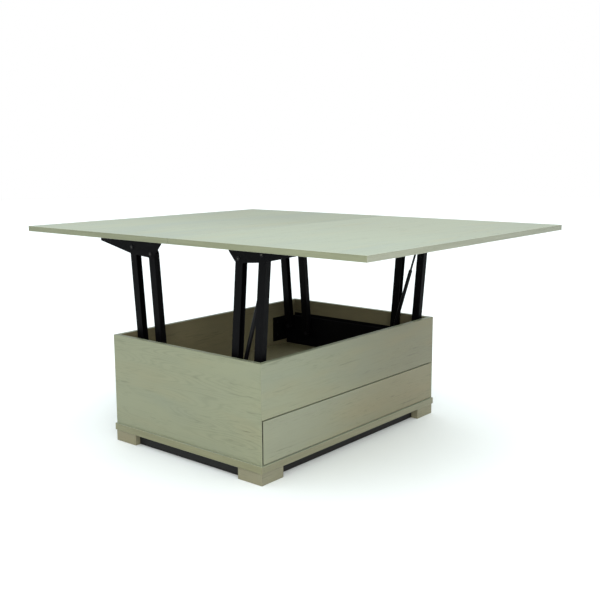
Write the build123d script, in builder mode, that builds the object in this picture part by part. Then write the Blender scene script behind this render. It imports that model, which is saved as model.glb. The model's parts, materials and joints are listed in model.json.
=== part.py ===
from build123d import *

import os
from math import cos, hypot, radians, sin

# Lift-top coffee table: a low storage case with one drawer, and a book-folding top on parallel arms.
# Origin on the floor below the middle of the opened top, +X to the right along the drawer face,
# +Y from the drawer to the back, +Z up, millimetres.  The table stands open: arms up, top unfolded,
# drawer shut.

# ---- tabletop: two equal leaves that meet at a seam over Y = 0 ----
top_width = 1100.0
leaf_depth = 693.0
leaf_thickness = 17.0
top_height = 702.0
seam_gap = 1.0
leaf_corner_radius = 2.0
leaf_edge_radius = 0.8

# ---- case ----
case_width = 914.0
case_depth = 650.0
case_back_shift = 57.0
rim_height = 357.5
panel = 16.0
floor_top = 190.0
front_split = 193.0
floor_setback = 0.5

# ---- base board, feet and plinth ----
foot_size = 95.0
foot_height = 36.0
foot_outer_x = 459.5
foot_outer_y = 325.5
foot_corner_radius = 2.0
foot_bottom_chamfer = 1.0
foot_top_chamfer = 1.5
foot_screw_offset = 22.0
board_width = 925.0
board_depth = 659.0
board_thickness = 23.0
board_edge_radius = 2.5
board_corner_radius = 3.0
plinth_face_x = 441.0
plinth_face_y = 300.0
plinth_thickness = 16.0
plinth_clearance = 1.5

# ---- drawer ----
drawer_front_bottom = 61.0
drawer_front_top = 189.5
drawer_end_nose = 2.0
drawer_end_gap = 4.0
drawer_side_gap = 12.7
drawer_side = 12.0
drawer_box_bottom = 72.0
drawer_box_top = 160.0
drawer_box_back = 240.0
drawer_bottom = 5.0
drawer_groove_height = 8.0
drawer_groove_depth = 6.0

# ---- telescopic drawer runners ----
runner_height = 45.0
runner_centre_z = 115.0
runner_length = 540.0
runner_front = -306.0
runner_sheet = 1.2
runner_lip = 5.0
runner_web_gap = 1.0
runner_lip_gap = 0.8

# ---- arms and their pivots; heights above the floor, distances from the middle of the case ----
arm_length = 377.0
arm_depth = 28.0
arm_wall = 2.0
arm_lean = 4.5
pivot_inner_y = 186.5
pivot_spread_y = 91.0
pivot_step_z = 17.0
lift_pivot_z = 268.0
support_pivot_z = 246.0
pin_radius = 4.0
running_clearance = 0.05
collar_radius = 7.0
rivet_head = 2.0
side_play = 0.3

# ---- lanes across the table, as distances from its middle plane ----
support_arm_lane = (358.0, 380.0)
support_plate_lane = (380.4, 383.4)
inner_web_lane = (386.0, 389.0)
strut_eye_lane = (392.0, 400.0)
lift_arm_lane = (403.0, 425.0)
lift_plate_lane = (425.4, 428.4)
outer_web_lane = (438.0, 441.0)

# ---- steel base frames ----
frame_sheet = 3.0
frame_top = 305.0
frame_ear_inner_x = 305.0
frame_ear_bottom = 206.0
frame_ear_top = 301.0
ear_screw_x = 328.0
ear_screw_z = (230.0, 282.0)
wall_screw_places = (-240.0, -90.0, 90.0, 240.0)
wall_screw_z = 212.0

# ---- brackets under the top ----
bracket_lobe_radius = 13.0
bracket_edge_drop = 22.0
bracket_edge_reach = 3.0
lift_bracket_inner_y = 166.0
lift_bracket_shoulder = (180.0, 662.0)
lift_bracket_tip = (457.0, 671.0)
support_bracket_inner_y = 150.0
support_bracket_shoulder = (166.0, 655.0)
support_bracket_tip = (468.0, 651.0)
leaf_screw_x = 412.0
leaf_screw_places = (-190.0, -262.0, -350.0, -430.0)
support_flange_width = 31.0
lift_flange_width = 25.0
pad_radius = 10.0
pad_thickness = 2.0
pad_gap = 0.4
pad_places = (200.0, 420.0)
crossbar_size = 25.0
crossbar_wall = 1.5
crossbar_corner_radius = 2.5

# ---- gas struts ----
cylinder_radius = 6.5
cylinder_bore = 5.0
cylinder_start = 20.0
cylinder_end = 272.0
bore_start = 30.0
seal_length = 8.0
rod_radius = 3.75
rod_inner_end = 236.0
rod_clearance = 0.1
eye_radius = 8.0
neck_radius = 4.0

# ---- screws ----
screw_radius = 2.0
screw_head_radius = 4.2
screw_head_height = 2.0
screw_length = 12.0
screw_tip_room = 1.0
foot_screw_recess = 18.0
foot_screw_recess_radius = 6.0

# ---- concealed hinges in the seam ----
hinge_places = (-420.0, 0.0, 420.0)
hinge_radius = 6.0
hinge_depth = 30.0
hinge_face_gap = 0.3

# ---- worked-out positions ----
leaf_underside = top_height - leaf_thickness
half_width = case_width / 2
inside_x = half_width - panel
front_y = case_back_shift - case_depth / 2
back_y = case_back_shift + case_depth / 2
inside_front_y = front_y + panel
inside_back_y = back_y - panel
board_top = foot_height + board_thickness
screw_hole = screw_radius + running_clearance
screw_hole_depth = screw_length + screw_tip_room
drawer_half_width = half_width - drawer_end_nose - drawer_end_gap
drawer_box_half = inside_x - drawer_side_gap
support_flange_top = leaf_underside - pad_gap - pad_thickness
sides = {"left": -1, "right": 1}

os.makedirs("parts", exist_ok=True)


def save(piece, label):
    """Name a finished piece and write it."""
    piece.part.label = label
    export_step(piece.part, f"parts/{label}.step")


def lane_start(side, lane):
    """Lowest X of a lane on the left (-1) or right (1) side."""
    return lane[0] if side > 0 else -lane[1]


def lane_width(lane):
    return lane[1] - lane[0]


def block(low, high):
    """A box between two corners, added to the part being built."""
    size = [b - a for a, b in zip(low, high)]
    with Locations(low):
        Box(*size, align=(Align.MIN, Align.MIN, Align.MIN))


def side_block(side, lane, y_range, z_range, mode=Mode.ADD):
    """A box in a lane on one side of the table."""
    with Locations((lane_start(side, lane), y_range[0], z_range[0])):
        Box(lane_width(lane), y_range[1] - y_range[0], z_range[1] - z_range[0],
            align=(Align.MIN, Align.MIN, Align.MIN), mode=mode)


def side_discs(side, lane, points, radius, mode=Mode.ADD):
    """Round bosses or holes along X, centred on (y, z) points in a lane."""
    with BuildSketch(Plane.YZ.offset(lane_start(side, lane))) as discs:
        with Locations(*points):
            Circle(radius)
    extrude(discs.sketch, amount=lane_width(lane), mode=mode)


def case_y(y):
    """Y of a place given from the middle of the case."""
    return case_back_shift + y


# ---- pivots of one unit: the lift unit is at the front, the support unit at the back ----
def lower_pivots(unit):
    """Inner and outer lower pivots, as (y, z)."""
    way = -1 if unit == "lift" else 1
    height = lift_pivot_z if unit == "lift" else support_pivot_z
    inner = (case_y(way * pivot_inner_y), height)
    outer = (case_y(way * (pivot_inner_y + pivot_spread_y)), height + pivot_step_z)
    return {"inner": inner, "outer": outer}


def upper_pivots(unit):
    """Inner and outer upper pivots with the arms leaning outwards."""
    way = -1 if unit == "lift" else 1
    reach = way * arm_length * sin(radians(arm_lean))
    rise = arm_length * cos(radians(arm_lean))
    return {key: (y + reach, z + rise) for key, (y, z) in lower_pivots(unit).items()}


# =====================================================================================
# Base: four corner blocks, four recessed plinth rails and the base board
# =====================================================================================
foot_centre_x = foot_outer_x - foot_size / 2
foot_centre_y = foot_outer_y - foot_size / 2

for end, way in (("front", -1), ("back", 1)):
    for name, side in sides.items():
        centre = (side * foot_centre_x, case_y(way * foot_centre_y))
        with BuildPart() as foot:
            with BuildSketch():
                with Locations(centre):
                    RectangleRounded(foot_size, foot_size, foot_corner_radius)
            extrude(amount=foot_height)
            chamfer(foot.faces().sort_by(Axis.Z)[0].edges(), foot_bottom_chamfer)
            chamfer(foot.faces().sort_by(Axis.Z)[-1].edges(), foot_top_chamfer)
            for offset in (-foot_screw_offset, foot_screw_offset):
                with Locations((centre[0] + offset, centre[1] + offset, 0)):
                    CounterBoreHole(screw_hole, foot_screw_recess_radius, foot_screw_recess, depth=foot_height)
        save(foot, f"foot_{end}_{name}")

with BuildPart() as foot_screws:
    head_z = foot_screw_recess
    for way in (-1, 1):
        for side in sides.values():
            for offset in (-foot_screw_offset, foot_screw_offset):
                place = (side * foot_centre_x + offset, case_y(way * foot_centre_y) + offset)
                with BuildSketch(Plane.XY.offset(head_z - screw_head_height)):
                    with Locations(place):
                        Circle(screw_head_radius)
                extrude(amount=screw_head_height)
                with BuildSketch(Plane.XY.offset(head_z)):
                    with Locations(place):
                        Circle(screw_radius)
                extrude(amount=foot_height - head_z + screw_length)
save(foot_screws, "foot_screws")

rail_half_x = foot_outer_x - foot_size
rail_half_y = foot_outer_y - foot_size
for end, way in (("front", -1), ("back", 1)):
    with BuildPart() as rail:
        near, far = sorted((way * plinth_face_y, way * (plinth_face_y - plinth_thickness)))
        block((-rail_half_x, case_y(near), plinth_clearance), (rail_half_x, case_y(far), foot_height))
    save(rail, f"plinth_rail_{end}")
for name, side in sides.items():
    with BuildPart() as rail:
        side_block(side, (plinth_face_x - plinth_thickness, plinth_face_x),
                   (case_y(-rail_half_y), case_y(rail_half_y)), (plinth_clearance, foot_height))
    save(rail, f"plinth_rail_{name}")

with BuildPart() as base_board:
    with BuildSketch(Plane.XY.offset(foot_height)):
        with Locations((0, case_back_shift)):
            RectangleRounded(board_width, board_depth, board_corner_radius)
    extrude(amount=board_thickness)
    fillet(base_board.faces().sort_by(Axis.Z)[-1].edges(), board_edge_radius)
    fillet(base_board.faces().sort_by(Axis.Z)[0].edges(), board_edge_radius)
    with BuildSketch(Plane.XY.offset(foot_height)):
        for way in (-1, 1):
            for side in sides.values():
                for offset in (-foot_screw_offset, foot_screw_offset):
                    with Locations((side * foot_centre_x + offset, case_y(way * foot_centre_y) + offset)):
                        Circle(screw_hole)
    extrude(amount=screw_hole_depth, mode=Mode.SUBTRACT)
save(base_board, "base_board")

# =====================================================================================
# Case: side panels with mitred front ends, upper front panel, back panel, compartment floor
# =====================================================================================
wall_screws = [(case_y(y), wall_screw_z) for y in wall_screw_places]

for name, side in sides.items():
    with BuildPart() as side_panel:
        nose = drawer_end_nose
        with BuildSketch(Plane.XY.offset(board_top)):
            with BuildLine():
                Polyline((side * half_width, front_y), (side * half_width, back_y), (side * inside_x, back_y),
                         (side * inside_x, front_y + panel - nose), (side * (half_width - nose), front_y),
                         close=True)
            make_face()
        extrude(amount=front_split - board_top)
        with BuildSketch(Plane.XY.offset(front_split)):
            with BuildLine():
                Polyline((side * half_width, front_y), (side * half_width, back_y), (side * inside_x, back_y),
                         (side * inside_x, inside_front_y), close=True)
            make_face()
        extrude(amount=rim_height - front_split)
        side_discs(side, (inside_x, inside_x + screw_hole_depth), wall_screws, screw_hole, Mode.SUBTRACT)
    save(side_panel, f"case_side_{name}")

with BuildPart() as upper_front:
    with BuildSketch(Plane.XY.offset(front_split)):
        with BuildLine():
            Polyline((-half_width, front_y), (half_width, front_y), (inside_x, inside_front_y),
                     (-inside_x, inside_front_y), close=True)
        make_face()
    extrude(amount=rim_height - front_split)
    for side in sides.values():
        for z in ear_screw_z:
            with Locations(Location((side * ear_screw_x, inside_front_y, z), (90, 0, 0))):
                Cylinder(screw_hole, screw_hole_depth,
                         align=(Align.CENTER, Align.CENTER, Align.MIN), mode=Mode.SUBTRACT)
save(upper_front, "case_upper_front")

with BuildPart() as back_panel:
    block((-inside_x, inside_back_y, board_top), (inside_x, back_y, rim_height))
    for side in sides.values():
        for z in ear_screw_z:
            with Locations(Location((side * ear_screw_x, inside_back_y, z), (-90, 0, 0))):
                Cylinder(screw_hole, screw_hole_depth,
                         align=(Align.CENTER, Align.CENTER, Align.MIN), mode=Mode.SUBTRACT)
save(back_panel, "case_back")

with BuildPart() as compartment_floor:
    block((-inside_x, inside_front_y + floor_setback, floor_top - panel), (inside_x, inside_back_y, floor_top))
save(compartment_floor, "compartment_floor")

# =====================================================================================
# Drawer: front with bevelled ends, two sides, back, bottom, and three-part runners
# =====================================================================================
box_back_y = case_y(drawer_box_back)
groove = (drawer_box_bottom + drawer_groove_height, drawer_box_bottom + drawer_groove_height + drawer_bottom)
bottom_half = drawer_box_half - drawer_side + drawer_groove_depth

with BuildPart() as drawer_front:
    bevel = panel - drawer_end_nose
    inner_half = drawer_half_width - bevel
    with BuildSketch(Plane.XY.offset(drawer_front_bottom)):
        with BuildLine():
            Polyline((-drawer_half_width, front_y), (drawer_half_width, front_y), (inner_half, front_y + bevel),
                     (inner_half, inside_front_y), (-inner_half, inside_front_y), (-inner_half, front_y + bevel),
                     close=True)
        make_face()
    extrude(amount=drawer_front_top - drawer_front_bottom)
    with Locations((0, inside_front_y - drawer_groove_depth, groove[0])):
        Box(2 * bottom_half, drawer_groove_depth, drawer_bottom,
            align=(Align.CENTER, Align.MIN, Align.MIN), mode=Mode.SUBTRACT)
save(drawer_front, "drawer_front")

for name, side in sides.items():
    side_lane = (drawer_box_half - drawer_side, drawer_box_half)
    with BuildPart() as drawer_side_piece:
        side_block(side, side_lane, (inside_front_y, box_back_y), (drawer_box_bottom, drawer_box_top))
        side_block(side, (side_lane[0], bottom_half), (inside_front_y, box_back_y), groove, Mode.SUBTRACT)
    save(drawer_side_piece, f"drawer_side_{name}")

back_half = drawer_box_half - drawer_side
with BuildPart() as drawer_back:
    block((-back_half, box_back_y - drawer_side, groove[1]), (back_half, box_back_y, drawer_box_top))
save(drawer_back, "drawer_back")

with BuildPart() as drawer_bottom_panel:
    block((-bottom_half, inside_front_y - drawer_groove_depth, groove[0]), (bottom_half, box_back_y, groove[1]))
save(drawer_bottom_panel, "drawer_bottom")


def runner_channel(side, web_lane, lip_way, height, y_start, length):
    """One member of a runner: a web with a lip along its top and bottom, turned in (-1) or out (1)."""
    low = runner_centre_z - height / 2
    y_range = (y_start, y_start + length)
    side_block(side, web_lane, y_range, (low, low + height))
    if lip_way < 0:
        lip_lane = (web_lane[0] - runner_lip, web_lane[0])
    else:
        lip_lane = (web_lane[1], web_lane[1] + runner_lip)
    side_block(side, lip_lane, y_range, (low, low + runner_sheet))
    side_block(side, lip_lane, y_range, (low + height - runner_sheet, low + height))


member_step = 2 * (runner_sheet + runner_lip_gap)
for name, side in sides.items():
    start = case_y(runner_front)
    with BuildPart() as fixed_member:
        runner_channel(side, (inside_x - runner_sheet, inside_x), -1, runner_height, start, runner_length)
    save(fixed_member, f"runner_fixed_{name}")
    middle_outer = inside_x - runner_sheet - runner_web_gap
    with BuildPart() as middle_member:
        runner_channel(side, (middle_outer - runner_sheet, middle_outer), -1, runner_height - member_step,
                       start, runner_length)
    save(middle_member, f"runner_middle_{name}")
    with BuildPart() as moving_member:
        runner_channel(side, (drawer_box_half, drawer_box_half + runner_sheet), 1,
                       runner_height - 2 * member_step, start, runner_length)
    save(moving_member, f"runner_moving_{name}")

# =====================================================================================
# Steel base frames: a channel along each side wall, with an ear on the front and back panels
# =====================================================================================
lift_low = lower_pivots("lift")
support_low = lower_pivots("support")

for name, side in sides.items():
    with BuildPart() as base_frame:
        along = (inside_front_y, inside_back_y)
        side_block(side, inner_web_lane, along, (floor_top, frame_top))
        side_block(side, (inner_web_lane[1], outer_web_lane[1]), along, (floor_top, floor_top + frame_sheet))
        side_block(side, outer_web_lane, along, (floor_top, frame_top))
        ear_lane = (frame_ear_inner_x, inner_web_lane[1])
        for ear_y in ((inside_front_y, inside_front_y + frame_sheet),
                      (inside_back_y - frame_sheet, inside_back_y)):
            side_block(side, ear_lane, ear_y, (frame_ear_bottom, frame_ear_top))
        side_discs(side, inner_web_lane, list(lift_low.values()) + list(support_low.values()),
                   pin_radius, Mode.SUBTRACT)
        side_discs(side, outer_web_lane, list(lift_low.values()), pin_radius, Mode.SUBTRACT)
        side_discs(side, outer_web_lane, wall_screws, screw_hole, Mode.SUBTRACT)
        for z in ear_screw_z:
            with Locations(Location((side * ear_screw_x, case_back_shift, z), (90, 0, 0))):
                Cylinder(screw_hole, case_depth, mode=Mode.SUBTRACT)
    save(base_frame, f"base_frame_{name}")

with BuildPart() as base_frame_screws:
    for side in sides.values():
        side_discs(side, (outer_web_lane[0] - screw_head_height, outer_web_lane[0]), wall_screws,
                   screw_head_radius)
        side_discs(side, (outer_web_lane[0], inside_x + screw_length), wall_screws, screw_radius)
        for way, wall_y in ((-1, inside_front_y), (1, inside_back_y)):
            for z in ear_screw_z:
                face_y = wall_y - way * frame_sheet
                shank_end = wall_y + way * screw_length
                for radius, y_a, y_b in ((screw_head_radius, face_y - way * screw_head_height, face_y),
                                         (screw_radius, face_y, shank_end)):
                    with BuildSketch(Plane.XZ.offset(-min(y_a, y_b))):
                        with Locations((side * ear_screw_x, z)):
                            Circle(radius)
                    extrude(amount=-abs(y_b - y_a))
save(base_frame_screws, "base_frame_screws")

# =====================================================================================
# Arms: folded steel channels with rounded cheeks, four pairs, the open sides facing each other
# =====================================================================================
arm_lanes = {"lift": lift_arm_lane, "support": support_arm_lane}
for unit in ("lift", "support"):
    lane = arm_lanes[unit]
    lean = arm_lean if unit == "lift" else -arm_lean
    for name, side in sides.items():
        for place in ("inner", "outer"):
            low = lower_pivots(unit)[place]
            high = upper_pivots(unit)[place]
            middle = ((low[0] + high[0]) / 2, (low[1] + high[1]) / 2)
            back_way = 1 if (unit == "lift") == (place == "inner") else -1
            back_offset = back_way * (arm_depth - arm_wall) / 2
            back = (middle[0] + back_offset * cos(radians(lean)), middle[1] + back_offset * sin(radians(lean)))
            start = lane_start(side, lane)
            with BuildPart() as arm:
                for cheek_start in (start, start + lane_width(lane) - arm_wall):
                    with BuildSketch(Plane.YZ.offset(cheek_start)) as cheek:
                        with Locations(middle):
                            SlotCenterToCenter(arm_length, arm_depth, rotation=90 + lean)
                    extrude(cheek.sketch, amount=arm_wall)
                with BuildSketch(Plane.YZ.offset(start)) as web:
                    with Locations(back):
                        Rectangle(arm_length, arm_wall, rotation=90 + lean)
                extrude(web.sketch, amount=lane_width(lane))
                side_discs(side, lane, [low, high], pin_radius + running_clearance, Mode.SUBTRACT)
            save(arm, f"{unit}_arm_{place}_{name}")

# =====================================================================================
# Brackets under the top, with a flange turned inwards along the top edge
# =====================================================================================
lift_high = upper_pivots("lift")
support_high = upper_pivots("support")


def bracket(side, plate_lane, pivots, outline, flange_width, flange_top):
    """A vertical plate with a lobe round each pivot and a flange along its top."""
    points = list(pivots.values())
    with BuildSketch(Plane.YZ.offset(lane_start(side, plate_lane))) as plate:
        with BuildLine():
            Polyline(*outline, close=True)
        make_face()
        with Locations(*points):
            Circle(bracket_lobe_radius)
            Circle(pin_radius, mode=Mode.SUBTRACT)
    extrude(plate.sketch, amount=lane_width(plate_lane))
    ys = [y for y, z in outline]
    flange_lane = (plate_lane[1] - flange_width, plate_lane[1])
    side_block(side, flange_lane, (min(ys), max(ys)), (flange_top - frame_sheet, flange_top))


def bracket_outline(way, pivots, top, inner_y, shoulder, tip):
    """Plate outline: a slanted inner end, round under the inner pivot, straight out to a blunt tip."""
    inner, outer = pivots["inner"], pivots["outer"]
    lobe = bracket_lobe_radius
    return [
        (case_y(way * inner_y), top),
        (case_y(way * shoulder[0]), shoulder[1]),
        (inner[0] - way * lobe, inner[1] - lobe * sin(radians(45))),
        (inner[0], inner[1] - lobe),
        (outer[0] + way * bracket_edge_reach, outer[1] - bracket_edge_drop),
        (case_y(way * tip[0]), tip[1]),
        (case_y(way * tip[0]), top),
    ]


lift_outline = bracket_outline(-1, lift_high, leaf_underside, lift_bracket_inner_y, lift_bracket_shoulder,
                               lift_bracket_tip)
support_outline = bracket_outline(1, support_high, support_flange_top, support_bracket_inner_y,
                                  support_bracket_shoulder, support_bracket_tip)
leaf_screws_at = {side: [(side * leaf_screw_x, case_y(y)) for y in leaf_screw_places] for side in sides.values()}

for name, side in sides.items():
    with BuildPart() as lift_bracket:
        bracket(side, lift_plate_lane, lift_high, lift_outline, lift_flange_width, leaf_underside)
        with BuildSketch(Plane.XY.offset(leaf_underside - frame_sheet)):
            with Locations(*leaf_screws_at[side]):
                Circle(screw_hole)
        extrude(amount=frame_sheet, mode=Mode.SUBTRACT)
    save(lift_bracket, f"lift_bracket_{name}")
    with BuildPart() as support_bracket:
        bracket(side, support_plate_lane, support_high, support_outline, support_flange_width,
                support_flange_top)
    save(support_bracket, f"support_bracket_{name}")

# ---- crossbar that ties the two support brackets, and the rubber pads on their flanges ----
crossbar_y = (support_high["inner"][0] + support_high["outer"][0]) / 2
crossbar_top = support_flange_top - frame_sheet
with BuildPart() as crossbar:
    with BuildSketch(Plane.YZ.offset(-support_plate_lane[0])):
        with Locations((crossbar_y, crossbar_top - crossbar_size / 2)):
            RectangleRounded(crossbar_size, crossbar_size, crossbar_corner_radius)
            Rectangle(crossbar_size - 2 * crossbar_wall, crossbar_size - 2 * crossbar_wall, mode=Mode.SUBTRACT)
    extrude(amount=2 * support_plate_lane[0])
save(crossbar, "support_crossbar")

pad_x = support_plate_lane[1] - support_flange_width / 2
pads_at = [(side * pad_x, case_y(y)) for side in sides.values() for y in pad_places]
with BuildPart() as support_pads:
    with BuildSketch(Plane.XY.offset(support_flange_top)):
        with Locations(*pads_at):
            Circle(pad_radius)
    extrude(amount=pad_thickness)
save(support_pads, "support_pads")

# =====================================================================================
# Pivot pins
# =====================================================================================
with BuildPart() as support_lower_pins:
    points = list(support_low.values())
    for side in sides.values():
        head_outer = support_arm_lane[0] - side_play
        side_discs(side, (head_outer - rivet_head, head_outer), points, collar_radius)
        side_discs(side, (head_outer, inner_web_lane[1]), points, pin_radius)
        side_discs(side, (support_arm_lane[1] + side_play, inner_web_lane[0]), points, collar_radius)
save(support_lower_pins, "support_lower_pins")

with BuildPart() as lift_lower_pins:
    points = list(lift_low.values())
    for side in sides.values():
        side_discs(side, (inner_web_lane[0], outer_web_lane[1]), points, pin_radius)
        side_discs(side, (lift_arm_lane[1] + side_play, outer_web_lane[0]), points, collar_radius)
        side_discs(side, (inner_web_lane[1], lift_arm_lane[0] - side_play), [lift_low["outer"]], collar_radius)
        side_discs(side, (inner_web_lane[1], strut_eye_lane[0] - side_play), [lift_low["inner"]], collar_radius)
        side_discs(side, (strut_eye_lane[1] + side_play, lift_arm_lane[0] - side_play), [lift_low["inner"]],
                   collar_radius)
save(lift_lower_pins, "lift_lower_pins")

with BuildPart() as support_upper_pins:
    points = list(support_high.values())
    for side in sides.values():
        head_outer = support_arm_lane[0] - side_play
        side_discs(side, (head_outer - rivet_head, head_outer), points, collar_radius)
        side_discs(side, (head_outer, support_plate_lane[1]), points, pin_radius)
        side_discs(side, (support_plate_lane[1], support_plate_lane[1] + rivet_head), points, collar_radius)
save(support_upper_pins, "support_upper_pins")

with BuildPart() as lift_upper_pins:
    points = list(lift_high.values())
    for side in sides.values():
        side_discs(side, (lift_arm_lane[0], lift_plate_lane[1]), points, pin_radius)
        side_discs(side, (lift_plate_lane[1], lift_plate_lane[1] + rivet_head), points, collar_radius)
save(lift_upper_pins, "lift_upper_pins")

# =====================================================================================
# Gas struts: from the inner lower pivot up to the outer upper pivot of the lift unit
# =====================================================================================
strut_foot = lift_low["inner"]
strut_head = lift_high["outer"]
strut_length = hypot(strut_head[0] - strut_foot[0], strut_head[1] - strut_foot[1])

for name, side in sides.items():
    strut_x = side * (strut_eye_lane[0] + strut_eye_lane[1]) / 2
    axis = (0, strut_head[0] - strut_foot[0], strut_head[1] - strut_foot[1])
    strut_plane = Plane(origin=(strut_x, *strut_foot), x_dir=(1, 0, 0), z_dir=axis)

    with BuildPart() as cylinder:
        with BuildSketch(strut_plane):
            Circle(neck_radius)
        extrude(amount=cylinder_start)
        side_discs(side, strut_eye_lane, [strut_foot], eye_radius)
        with BuildSketch(strut_plane.offset(cylinder_start)):
            Circle(cylinder_radius)
        extrude(amount=cylinder_end - cylinder_start)
        with BuildSketch(strut_plane.offset(bore_start)):
            Circle(cylinder_bore)
        extrude(amount=cylinder_end - seal_length - bore_start, mode=Mode.SUBTRACT)
        with BuildSketch(strut_plane.offset(cylinder_end - seal_length)):
            Circle(rod_radius + rod_clearance)
        extrude(amount=seal_length, mode=Mode.SUBTRACT)
        side_discs(side, strut_eye_lane, [strut_foot], pin_radius + running_clearance, Mode.SUBTRACT)
    save(cylinder, f"strut_cylinder_{name}")

    with BuildPart() as rod:
        with BuildSketch(strut_plane.offset(rod_inner_end)):
            Circle(rod_radius)
        extrude(amount=strut_length - rod_inner_end)
        side_discs(side, strut_eye_lane, [strut_head], eye_radius)
        side_discs(side, (strut_eye_lane[1], lift_arm_lane[0] - side_play), [strut_head], pin_radius)
    save(rod, f"strut_rod_{name}")

# =====================================================================================
# Tabletop leaves, their concealed hinges, and the screws that hold the front leaf
# =====================================================================================
hinge_z = top_height - leaf_thickness / 2
for name, way in (("front", -1), ("back", 1)):
    with BuildPart() as leaf:
        with BuildSketch(Plane.XY.offset(leaf_underside)):
            with Locations((0, way * (seam_gap / 2 + leaf_depth / 2))):
                Rectangle(top_width, leaf_depth)
        extrude(amount=leaf_thickness)
        outer_corners = leaf.edges().filter_by(Axis.Z).group_by(Axis.Y)[0 if way < 0 else -1]
        fillet(outer_corners, leaf_corner_radius)
        fillet(leaf.faces().sort_by(Axis.Z)[-1].edges(), leaf_edge_radius)
        fillet(leaf.faces().sort_by(Axis.Z)[0].edges(), leaf_edge_radius)
        for x in hinge_places:
            with Locations(Location((x, way * seam_gap / 2, hinge_z), (-90 * way, 0, 0))):
                Cylinder(hinge_radius + running_clearance, hinge_depth,
                         align=(Align.CENTER, Align.CENTER, Align.MIN), mode=Mode.SUBTRACT)
        if way < 0:
            with BuildSketch(Plane.XY.offset(leaf_underside)):
                for side in sides.values():
                    with Locations(*leaf_screws_at[side]):
                        Circle(screw_hole)
            extrude(amount=screw_hole_depth - frame_sheet, mode=Mode.SUBTRACT)
    save(leaf, f"leaf_{name}")

    with BuildPart() as hinge_plugs:
        for x in hinge_places:
            with Locations(Location((x, way * (seam_gap / 2 + hinge_face_gap), hinge_z), (-90 * way, 0, 0))):
                Cylinder(hinge_radius, hinge_depth - hinge_face_gap,
                         align=(Align.CENTER, Align.CENTER, Align.MIN))
    save(hinge_plugs, f"leaf_hinge_plugs_{name}")

with BuildPart() as leaf_screws:
    places = leaf_screws_at[-1] + leaf_screws_at[1]
    flange_bottom = leaf_underside - frame_sheet
    with BuildSketch(Plane.XY.offset(flange_bottom - screw_head_height)):
        with Locations(*places):
            Circle(screw_head_radius)
    extrude(amount=screw_head_height)
    with BuildSketch(Plane.XY.offset(flange_bottom)):
        with Locations(*places):
            Circle(screw_radius)
    extrude(amount=screw_length)
save(leaf_screws, "leaf_screws")
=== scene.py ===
import json
from math import cos, pi, radians, sin

import bmesh
import bpy
from mathutils import Matrix, Vector


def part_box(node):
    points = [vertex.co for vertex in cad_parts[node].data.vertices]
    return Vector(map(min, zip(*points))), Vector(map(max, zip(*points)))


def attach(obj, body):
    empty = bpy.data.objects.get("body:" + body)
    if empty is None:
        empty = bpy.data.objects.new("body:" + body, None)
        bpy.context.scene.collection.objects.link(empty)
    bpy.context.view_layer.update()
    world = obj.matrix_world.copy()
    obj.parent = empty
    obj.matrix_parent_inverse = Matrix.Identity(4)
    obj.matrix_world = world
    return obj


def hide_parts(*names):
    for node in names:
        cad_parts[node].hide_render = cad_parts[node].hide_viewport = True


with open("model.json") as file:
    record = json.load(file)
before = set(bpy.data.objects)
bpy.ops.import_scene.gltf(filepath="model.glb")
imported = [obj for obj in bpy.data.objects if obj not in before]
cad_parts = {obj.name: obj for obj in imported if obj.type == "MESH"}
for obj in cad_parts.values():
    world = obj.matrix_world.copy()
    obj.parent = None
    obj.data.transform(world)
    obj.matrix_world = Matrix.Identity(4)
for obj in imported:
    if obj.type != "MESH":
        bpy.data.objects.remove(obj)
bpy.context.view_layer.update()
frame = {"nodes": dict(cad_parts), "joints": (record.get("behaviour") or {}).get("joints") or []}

nodes = frame["nodes"]
joints = {joint["name"]: joint for joint in frame["joints"]}

# =====================================================================================
# The view.  The table stands open in a white studio and is seen from just above its own
# top, past its left side.  A long lens keeps the far edges from closing in.
# =====================================================================================
view_turn = radians(50.06)
view_drop = radians(9.63)
view_roll = 0.0044
view_place = Vector((-2.187, -1.860, 0.938))
ahead = Vector((sin(view_turn) * cos(view_drop), cos(view_turn) * cos(view_drop), -sin(view_drop)))
level = Vector((cos(view_turn), -sin(view_turn), 0.0))
below = ahead.cross(level)
rightward = level * cos(view_roll) + below * sin(view_roll)
downward = below * cos(view_roll) - level * sin(view_roll)

camera = bpy.data.objects.new("camera", bpy.data.cameras.new("camera"))
camera.data.lens = 51.94
camera.data.sensor_width = 36.0
camera.data.clip_end = 100.0
camera.matrix_world = Matrix((
    (rightward.x, -downward.x, -ahead.x, view_place.x),
    (rightward.y, -downward.y, -ahead.y, view_place.y),
    (rightward.z, -downward.z, -ahead.z, view_place.z),
    (0.0, 0.0, 0.0, 1.0)))
bpy.context.scene.collection.objects.link(camera)
bpy.context.scene.camera = camera
bpy.context.scene.view_settings.view_transform = "Standard"


class Value:
    """One output of a shader node, which takes + - * ** with numbers and other values."""

    def __init__(self, graph, node, output):
        self.graph = graph
        self.socket = node.outputs[output]

    def math(self, operation, first, second=0.0):
        return self.graph.add("Math", {"operation": operation}, {0: first, 1: second})

    def __add__(self, other):
        return self.math("ADD", self, other)

    def __radd__(self, other):
        return self.math("ADD", other, self)

    def __sub__(self, other):
        return self.math("SUBTRACT", self, other)

    def __rsub__(self, other):
        return self.math("SUBTRACT", other, self)

    def __mul__(self, other):
        return self.math("MULTIPLY", self, other)

    def __rmul__(self, other):
        return self.math("MULTIPLY", other, self)

    def __pow__(self, other):
        return self.math("POWER", self, other)

    def step(self, low, high):
        """0 below low, 1 above high, and a smooth rise between them."""
        return self.graph.add("MapRange", {"interpolation_type": "SMOOTHSTEP"},
                              {"Value": self, "From Min": low, "From Max": high})


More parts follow.
